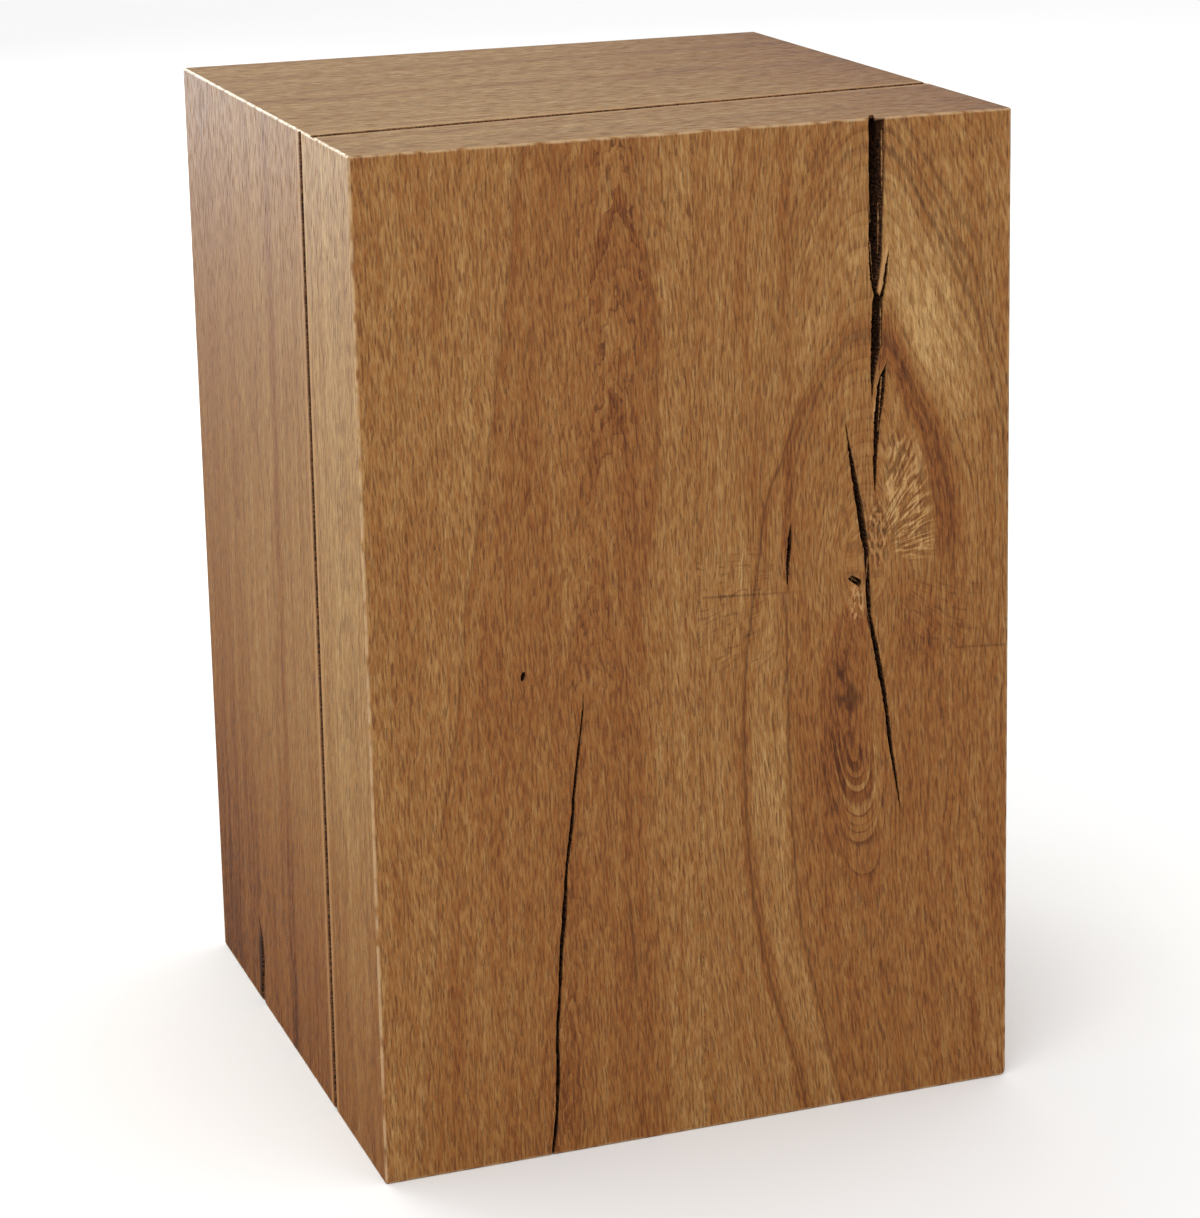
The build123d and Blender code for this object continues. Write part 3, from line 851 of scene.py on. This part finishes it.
right_tone = 0.43 + lower_red * 0.13 + heart_dark * 0.2 + red_leg * 0.24 + soft_red * 0.10
right_tone = right_tone + fan_red * 0.11 + leg_bands * 0.14 + slow_tone * 0.34
right_tone = right_tone - pale_patch * 0.24 - left_fan * 0.05 - pale_strip * 0.06
right_tone = right_tone - torn_bright * 0.34
right_stain = line_stain + ray_stain + heart_spots * 0.75 + knot_dark * 0.75
right_stain = right_stain + glue_line(front_right) * 0.5
right_pale = splinter_bright + fork_bright * 0.8 + pit_bright * 0.9 + knot_bright * 0.5
right_pale = right_pale + torn_bright * 0.28
core_rings = arch_radius.fall(10.0, 20.0) * up.within((80.0, 110.0), (165.0, 185.0))
right_board_oak = oiled_oak(
    front_right,
    across,
    right_depth,
    up,
    radius=arch_rings,
    tone=right_tone,
    ring_width=2.6,
    seed=11.0,
    straight=x,
    line_strength=core_rings * 1.1 + 0.20,
    ring_contrast=core_rings * 0.35 + 0.12,
    flow=grain_flow,
    openness=1.0 - pale_patch * 0.5 - left_fan * 0.25 - torn_patch * 0.3,
    stain_and_shade=right_stain.least(1.0),
    pale=right_pale.least(1.0),
)
use(right_board_oak, "front_right_board")

# %% [markdown]
# The top and the left side were one length of wood before they were mitred, and their
# bands turn the corner together. On a board like this the figure is plain bands along the
# grain, so a curve of tone across the board says most of it.

# %% A plain board


def plain_board(
    name,
    face,
    bands,
    lean,
    heart_at,
    heart_behind,
    ring_width,
    seed,
    gap=None,
    painted_light_along=None,
    shade=None,
):
    """A board with its figure in bands. The face gives the ways across, into and along it."""
    wood = Wood(name)
    face_across, depth, along = face(wood)
    straight = face_across - along * lean
    across = straight + wood.drift(straight, along, 30.0, 160.0, seed) * 3.0
    from_heart = across - heart_at
    radius = (from_heart.squared() + (depth + heart_behind).squared()).root()
    tone = across.curve(bands)
    tone = tone + wood.drift(across, along, 7.0, 200.0, seed + 2.0, detail=3.0) * 0.30
    pale = 0.0
    # Painted shade: the wood is painted darker from 0.1 mm down into a gap or check.
    stain_and_shade = depth.within((0.1, 0.6), (12.0, 14.0)) * 0.6
    # Painted light: a second curve of tone along the grain, painted sheen on the top and painted
    # shade towards the foot of the left side.
    if painted_light_along:
        tone = tone + along.curve(painted_light_along)
    if shade:
        stain_and_shade = stain_and_shade + shade(wood)
    # Painted shade right at the gap, and a little way off a pale painted highlight on the eased
    # arris.
    if gap:
        from_gap = (face_across - along.curve(gap)).size()
        pale = from_gap.within((2.6, 3.6), (4.0, 8.5)) * 0.6
        stain_and_shade = stain_and_shade + from_gap.fall(1.6, 3.2) * 0.45
    return oiled_oak(
        wood,
        across,
        depth,
        along,
        radius,
        tone,
        ring_width,
        seed,
        straight=straight,
        line_strength=0.15,
        ring_contrast=0.10,
        stain_and_shade=stain_and_shade,
        pale=pale,
        rim=0.0,
        inside=(0.05, 0.4),
    )


print("plain boards ready")

# %% The faces of the block


def on_top(wood):
    return wood.y, block_height - wood.z, wood.x


def on_left(wood):
    return wood.y, wood.x + half_side, wood.z - block_height


def on_right(wood):
    return wood.y, half_side - wood.x, wood.z


def on_back(wood):
    return -wood.x, half_side - wood.y, wood.z


def on_floor(wood):
    """The underside. A tenth of the depth lets the oil run a little way up its edges."""
    return wood.y, wood.z * 0.1, wood.x


print("faces ready")

# %% [markdown]
# A glue line has opened along the top and another down the left side. The boards beside it
# are painted dark at the gap as painted shade, and a little way off they are painted pale as
# a painted highlight on the eased arris. The top gets a painted sheen, lighter at its left end
# and darker to the right, and the left side gets painted shade, darker and redder towards its
# foot, so those boards get a second curve of tone along the grain.

# %% The top and the left side
# Each tree is its heart, how far that lies behind the face, the ring width and a seed.
rear_tree = (30.0, 90.0, 3.1, 21.0)
fore_tree = (-120.0, 60.0, 2.8, 23.0)
top_gap = [(-150, -90), (0, -76.1), (152, -62)]
left_gap = [(-450, -66), (-225, -69), (0, -72)]
top_bands = [(-95, 0.40), (-30, 0.42), (0, 0.44), (12, 0.46), (22, 0.58), (34, 0.42), (52, 0.46)]
top_bands += [(58, 0.52), (66, 0.42), (86, 0.42), (96, 0.56), (108, 0.42), (148, 0.48)]
left_bands = [(-80, 0.44), (-24, 0.42), (-16, 0.46), (-9, 0.62), (-2, 0.46), (20, 0.44)]
left_bands += [(30, 0.52), (44, 0.44), (66, 0.54), (84, 0.5), (104, 0.6), (148, 0.56)]
fore_bands = [(-148, 0.44), (-130, 0.47), (-112, 0.41), (-96, 0.47), (-60, 0.43)]
top_painted_sheen = [(-150, -0.16), (20, -0.10), (90, 0.02), (130, 0.16), (150, 0.26)]
rear_painted_shade = [(-450, 0.3), (-360, 0.16), (-270, -0.02), (-150, -0.06), (0, 0.1)]
fore_painted_shade = [(-450, 0.2), (-350, 0.0), (-240, -0.2), (-120, -0.24), (0, -0.18)]


def foot_check_shade(wood):
    """The dark wood round the check at the foot of the left side."""
    from_check = (wood.y - 68.0 + (wood.z - 20.0) * 0.06).pulse(0.0, 7.0)
    return from_check * wood.z.fall(30.0, 42.0) * 1.2


# Each row is a board, its face, bands, lean and tree, its gap, its painted light along the
# grain (sheen on the top, shade on the left side) and the dark round a check.
seen_boards = [
    ("top_rear", on_top, top_bands, 0.04, rear_tree, top_gap, top_painted_sheen, None),
    ("top_front", on_top, fore_bands, 0.06, fore_tree, top_gap, top_painted_sheen, None),
    ("left_rear", on_left, left_bands, -0.029, rear_tree, left_gap, rear_painted_shade, foot_check_shade),
    ("left_front", on_left, fore_bands, -0.012, fore_tree, left_gap, fore_painted_shade, None),
]
for board_name, face, bands, lean, tree, *extras in seen_boards:
    oak_of_board = plain_board(board_name + "_oak", face, bands, lean, *tree, *extras)
    use(oak_of_board, board_name + "_board")

# %% [markdown]
# The right side and the back aren't seen in the reference. They are the same oak, from
# other boards, with the same finish and their own figure.

# %% Hidden boards
side_bands = [(-148, 0.46), (-90, 0.40), (-40, 0.52), (10, 0.42), (60, 0.54), (110, 0.44)]
side_bands += [(148, 0.5)]
# Each row is a board, its face, its lean and its tree.
hidden_boards = [
    ("right_front", on_right, 0.02, (-90.0, 26.0, 2.5, 31.0)),
    ("right_rear", on_right, -0.015, (66.0, 38.0, 2.7, 33.0)),
    ("back_left", on_back, 0.02, (92.0, 22.0, 2.4, 35.0)),
    ("back_right", on_back, -0.02, (-60.0, 30.0, 2.6, 37.0)),
]
for board_name, face, lean, tree in hidden_boards:
    oak_of_board = plain_board(board_name + "_oak", face, side_bands, lean, *tree)
    use(oak_of_board, board_name + "_board")
floor_oak = plain_board("floor_oak", on_floor, side_bands, 0.01, 20.0, 60.0, 3.0, 41.0)
use(floor_oak, "floor_front_board", "floor_rear_board")

# %% [markdown]
# The cleats inside are planed softwood, pale with a soft grain, and the biscuits in the
# mitres are pressed beech, pale with small flecks. Neither is oiled.

# %% Softwood and pressed beech


def softwood(name, seed, along_x):
    """Planed pine whose grain runs along x, or else along y."""
    wood = Wood(name)
    along, across = (wood.x, wood.y) if along_x else (wood.y, wood.x)
    grown = rings.place(
        wood.tree, Radius=across + wood.z * 0.6, Along=along, Ring_Width=3.4, Seed=seed
    )
    planed = noise(wood.tree, (across + wood.z) * 0.9, along * 0.06, 5.0, detail=3.0)
    tone = grown["Earlywood"] * 0.5 + planed * 0.5
    colour = ramp(wood.tree, tone, [(0.2, srgb(226, 196, 148)), (0.8, srgb(198, 154, 98))])
    return wood.finish(colour, planed * 0.2 + 0.6, planed * 0.06)


def pressed_beech(name, seed):
    """Pressed beech with small flecks."""
    wood = Wood(name)
    flecks = noise(wood.tree, (wood.x + wood.z) * 1.6, (wood.y + wood.z * 0.4) * 1.6, seed)
    colour = ramp(wood.tree, flecks, [(0.38, srgb(190, 144, 100)), (0.6, srgb(222, 184, 142))])
    return wood.finish(colour, flecks * 0.2 + 0.6, flecks * 0.08)


use(softwood("long_cleat_pine", 51.0, True), "front_cleat", "back_cleat")
use(softwood("side_cleat_pine", 53.0, False), "left_cleat", "right_cleat")
biscuit_names = [name for name in boards if name.endswith("_biscuits")]
use(pressed_beech("biscuit_beech", 61.0), *biscuit_names)

# %% [markdown]
# The checks have straight, smooth walls in the frame, but wood tears as it dries. So each
# front board gets a dressed copy: the walls of its checks are divided and shaken a little,
# and then the rims go back into the plane of the face, because the face was sanded after
# the wood had split. Sculpting would do it too, but this way each check stays in its place.

# %% Open a piece for editing
POINTS, FACES = (True, False, False), (False, False, True)


def edit_selected(mode):
    """Edits what is selected on the active piece, as points or as faces."""
    bpy.context.tool_settings.mesh_select_mode = mode
    bpy.ops.object.mode_set(mode="EDIT")


def edit(piece):
    """Opens one piece alone in edit mode, with all of it selected."""
    bpy.ops.object.select_all(action="DESELECT")
    piece.select_set(True)
    bpy.context.view_layer.objects.active = piece
    edit_selected(POINTS)
    bpy.ops.mesh.select_all(action="SELECT")


def leave_edit():
    bpy.ops.object.mode_set(mode="OBJECT")


print("editing ready")

# %% Copy a front board
same_point = 0.000002
same_plane = math.radians(0.5)


def copy_of_board(board_name, piece_name):
    """A copy of a board whose loose triangles are joined into clean faces."""
    mesh = boards[board_name].data.copy()
    piece = bpy.data.objects.new(piece_name, mesh)
    bpy.context.scene.collection.objects.link(piece)
    edit(piece)
    bpy.ops.mesh.customdata_custom_splitnormals_clear()
    bpy.ops.mesh.remove_doubles(threshold=same_point)
    bpy.ops.mesh.dissolve_limited(angle_limit=same_plane)
    leave_edit()
    print(piece_name, "starts with", len(mesh.polygons), "faces")
    return piece


print("copying ready")

# %% Find the walls of the checks
front_plane = cad_low.y
in_plane = 0.00001
upright = 0.2
shortest_wall = 0.006
edge_margin = 0.0015
glue_margin = 0.001


def at_front(point):
    return abs(point.y - front_plane) < in_plane


def is_check_wall(mesh, face):
    """True for a face that goes straight in from the front and isn't an outer side."""
    corners = [mesh.vertices[index].co for index in face.vertices]
    heights = [corner.z for corner in corners]
    long_enough = max(heights) - min(heights) > shortest_wall
    goes_in = abs(face.normal.y) < upright
    within = glue_margin < abs(face.center.x) < cad_high.x - edge_margin
    return goes_in and within and long_enough and any(at_front(corner) for corner in corners)


def select_faces(mesh, wanted):
    """Selects the wanted faces, and nothing else."""
    for item in (*mesh.vertices, *mesh.edges):
        item.select = False
    for face in mesh.polygons:
        face.select = wanted(mesh, face)


def select_points(mesh, indices):
    """Selects some points, and the edges and faces that lie wholly among them."""
    for vertex in mesh.vertices:
        vertex.select = vertex.index in indices
    for edge in mesh.edges:
        edge.select = all(index in indices for index in edge.vertices)
    for face in mesh.polygons:
        face.select = all(index in indices for index in face.vertices)


print("walls longer than", shortest_wall * MM, "mm are torn")

# %% Tear the walls of the checks
tear = 0.0004
cuts_in_wall = 7
soft_up_to = math.radians(28)


def dress_checks(piece, seed):
    """Divides and shakes the walls, and puts their rims back into the plane of the face."""
    mesh = piece.data
    select_faces(mesh, is_check_wall)
    edit_selected(FACES)
    bpy.ops.mesh.subdivide(number_cuts=cuts_in_wall)
    leave_edit()
    wall_count = sum(face.select for face in mesh.polygons)
    touched = {index for face in mesh.polygons if face.select for index in face.vertices}
    top = cad_high.z - edge_margin
    loose = {index for index in touched if edge_margin < mesh.vertices[index].co.z < top}
    rim = {index for index in loose if at_front(mesh.vertices[index].co)}
    select_points(mesh, loose)
    edit_selected(POINTS)
    bpy.ops.transform.vertex_random(offset=tear, seed=seed)
    leave_edit()
    select_points(mesh, rim)
    edit_selected(POINTS)
    bpy.ops.transform.resize(value=(1, 0, 1), center_override=(0, front_plane, 0))
    leave_edit()
    bpy.ops.object.shade_smooth_by_angle(angle=soft_up_to)
    print(piece.name, "walls", wall_count, "rim points", len(rim), "faces", len(mesh.polygons))


def dress_board(board_name, piece_name, seed):
    """The torn copy of a board, in its place and in its finish."""
    piece = copy_of_board(board_name, piece_name)
    dress_checks(piece, seed)
    piece.data.materials.clear()
    piece.data.materials.append(boards[board_name].material_slots[0].material)
    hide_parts(board_name)
    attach(piece, "root")


dress_board("front_left_board", "dressed_left_board", 3)
dress_board("front_right_board", "dressed_right_board", 8)

# %% [markdown]
# Where wood tears, some fibres stay behind: long slivers that cling to the walls of the
# deep check, and short chips in the pit of the knot. Each starts as a thin cone, is
# divided, shaken and flattened, and is then laid from its root to its tip.

# %% The finish of a fibre
fibre_browns = [(0.32, srgb(88, 52, 26)), (0.5, srgb(150, 102, 58)), (0.68, srgb(198, 152, 100))]

fibre_oak = Wood("torn_fibre_oak")
fibre_across = (fibre_oak.x + fibre_oak.y) * 2.4
fibre_grain = noise(
    fibre_oak.tree, fibre_across, fibre_oak.z * 0.5, 6.0, detail=3.0, roughness=0.6
)
fibre_colour = ramp(fibre_oak.tree, fibre_grain, fibre_browns)
fibre_material = fibre_oak.finish(fibre_colour, fibre_grain * 0.2 + 0.6, fibre_grain * 0.12)
print("material", fibre_material.name)

# %% Torn fibres
fibre_sides = 6
fibre_cuts = 4
fibre_shake = 0.14
fibre_tip = 0.06
fibre_soft_up_to = math.radians(35)


def torn_fibre(name, root, tip, width, thickness, seed):
    """A sliver from its root to its tip, each given as across, depth and height in mm."""
    start = Vector((root[0], root[1] - half_side, root[2])) / MM
    end = Vector((tip[0], tip[1] - half_side, tip[2])) / MM
    length = (end - start).length
    bpy.ops.object.select_all(action="DESELECT")
    bpy.ops.mesh.primitive_cone_add(
        vertices=fibre_sides,
        radius1=width / 2 / MM,
        radius2=width * fibre_tip / MM,
        depth=length,
    )
    fibre = bpy.context.object
    fibre.name = name
    edit(fibre)
    bpy.ops.transform.translate(value=(0, 0, length / 2))
    bpy.ops.mesh.subdivide(number_cuts=fibre_cuts)
    bpy.ops.transform.vertex_random(offset=width * fibre_shake / MM, seed=seed)
    bpy.ops.transform.resize(value=(1, thickness / width, 1), center_override=(0, 0, 0))
    leave_edit()
    fibre.rotation_mode = "QUATERNION"
    fibre.rotation_quaternion = (end - start).to_track_quat("Z", "Y")
    fibre.location = start
    bpy.ops.object.transform_apply(location=True, rotation=True, scale=True)
    bpy.ops.object.shade_smooth_by_angle(angle=fibre_soft_up_to)
    fibre.data.materials.append(fibre_material)
    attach(fibre, "root")


# Each row is the root, the tip, the width and the thickness.
check_fibres = [
    ((88.6, 3.0, 444), (88.0, 2.2, 418), 1.5, 0.7),
    ((82.0, 4.5, 430), (83.0, 3.5, 404), 1.3, 0.6),
    ((88.4, 6.0, 412), (86.6, 4.0, 390), 1.6, 0.8),
    ((82.2, 2.5, 396), (83.4, 2.0, 379), 1.1, 0.6),
    ((87.9, 3.0, 368), (86.9, 1.6, 349), 1.2, 0.6),
    ((87.6, 2.5, 336), (85.4, 1.2, 312), 1.1, 0.5),
    ((77.4, 2.0, 283), (79.8, 1.4, 266), 1.0, 0.5),
    ((80.8, 2.0, 256), (78.6, 1.2, 240), 1.1, 0.6),
    ((79.4, 2.4, 236), (82.2, 1.5, 220), 1.0, 0.5),
]
pit_chips = [
    ((71.2, 2.6, 247.6), (74.6, 1.4, 246.2), 1.0, 0.6),
    ((75.4, 2.4, 245.0), (72.4, 1.6, 246.8), 0.9, 0.5),
    ((73.2, 3.0, 245.2), (74.0, 1.2, 248.4), 0.8, 0.5),
]
for number, (root, tip, width, thickness) in enumerate(check_fibres + pit_chips, 1):
    torn_fibre(f"torn_fibre_{number}", root, tip, width, thickness, number)
print("fibres and chips", len(check_fibres) + len(pit_chips))

# %% [markdown]
# A plain pale floor. It looks nearly white to the camera and lights the block from below
# like warm grey card. To glossy rays it is dark, so the foot of the block doesn't mirror it.

# %% Floor
bpy.ops.object.select_all(action="DESELECT")
bpy.ops.mesh.primitive_plane_add(size=24.0, location=(0, 0, 0))
floor = bpy.context.object
floor.name = "studio_floor"
floor_paint = bpy.data.materials.new("studio_floor")
floor_paint.use_nodes = True
floor_tree = floor_paint.node_tree
floor_shader = floor_tree.nodes["Principled BSDF"]
floor_shader.inputs["Roughness"].default_value = 0.95
floor_shader.inputs["Specular IOR Level"].default_value = 0.1
light_path = floor_tree.nodes.new("ShaderNodeLightPath")
seen = Field(floor_tree, light_path.outputs["Is Camera Ray"])
in_gloss = Field(floor_tree, light_path.outputs["Is Glossy Ray"])
floor_bounce = layer(floor_tree, in_gloss, (0.74, 0.72, 0.70, 1.0), (0.06, 0.06, 0.06, 1.0))
floor_colour = layer(floor_tree, seen, floor_bounce, (0.96, 0.96, 0.96, 1.0))
floor_tree.links.new(floor_colour, floor_shader.inputs["Base Color"])
floor.data.materials.append(floor_paint)
print("floor ready")

# %% [markdown]
# Soft light comes from large panels. The long panel behind the block is low, so it shines
# along the top and the upper left side as a pale sheen and leaves the front warm.

# %% Light panels
warm_white = (1.0, 0.98, 0.95)
cool_white = (0.94, 1.0, 0.95)


def panel(name, place, target, width, height, power, colour):
    """A soft light panel that faces a point."""
    data = bpy.data.lights.new(name, "AREA")
    data.shape = "RECTANGLE"
    data.size, data.size_y = width, height
    data.energy = power
    data.color = colour
    light = bpy.data.objects.new(name, data)
    light.location = place
    aim = Vector(target) - Vector(place)
    light.rotation_mode = "QUATERNION"
    light.rotation_quaternion = aim.to_track_quat("-Z", "Y")
    light.visible_camera = False
    bpy.context.scene.collection.objects.link(light)


panel("key_panel", (-2.0, -2.4, 2.4), (0, 0, 0.22), 2.4, 2.4, 36.0, warm_white)
panel("rear_panel", (-1.55, 2.9, 0.75), (-0.15, 0, 0.45), 1.9, 1.5, 58.0, cool_white)
panel("far_panel", (-0.3, 3.4, 0.85), (0, 0, 0.45), 0.9, 1.0, 26.0, cool_white)
print("panels ready")

# %% [markdown]
# The room gives the rest of the light, evenly from all sides. In the oil it is dimmer, as a
# real room is beside its lamps, so that only the panels make a sheen.

# %% The room
room_light = 0.97
room_held_back = 0.35

world = bpy.data.worlds.new("studio")
world.use_nodes = True
room = world.node_tree
world_light = room.nodes["Background"]
world_path = room.nodes.new("ShaderNodeLightPath")
room_in_gloss = Field(room, world_path.outputs["Is Glossy Ray"])
plug(room, world_light.inputs["Strength"], room_light - room_in_gloss * room_held_back)
room_colour = layer(room, room_in_gloss, (1.0, 1.0, 1.0, 1.0), (0.9, 1.0, 0.93, 1.0))
room.links.new(room_colour, world_light.inputs["Color"])
bpy.context.scene.world = world
bpy.context.scene.view_settings.view_transform = "Standard"
print("room ready")
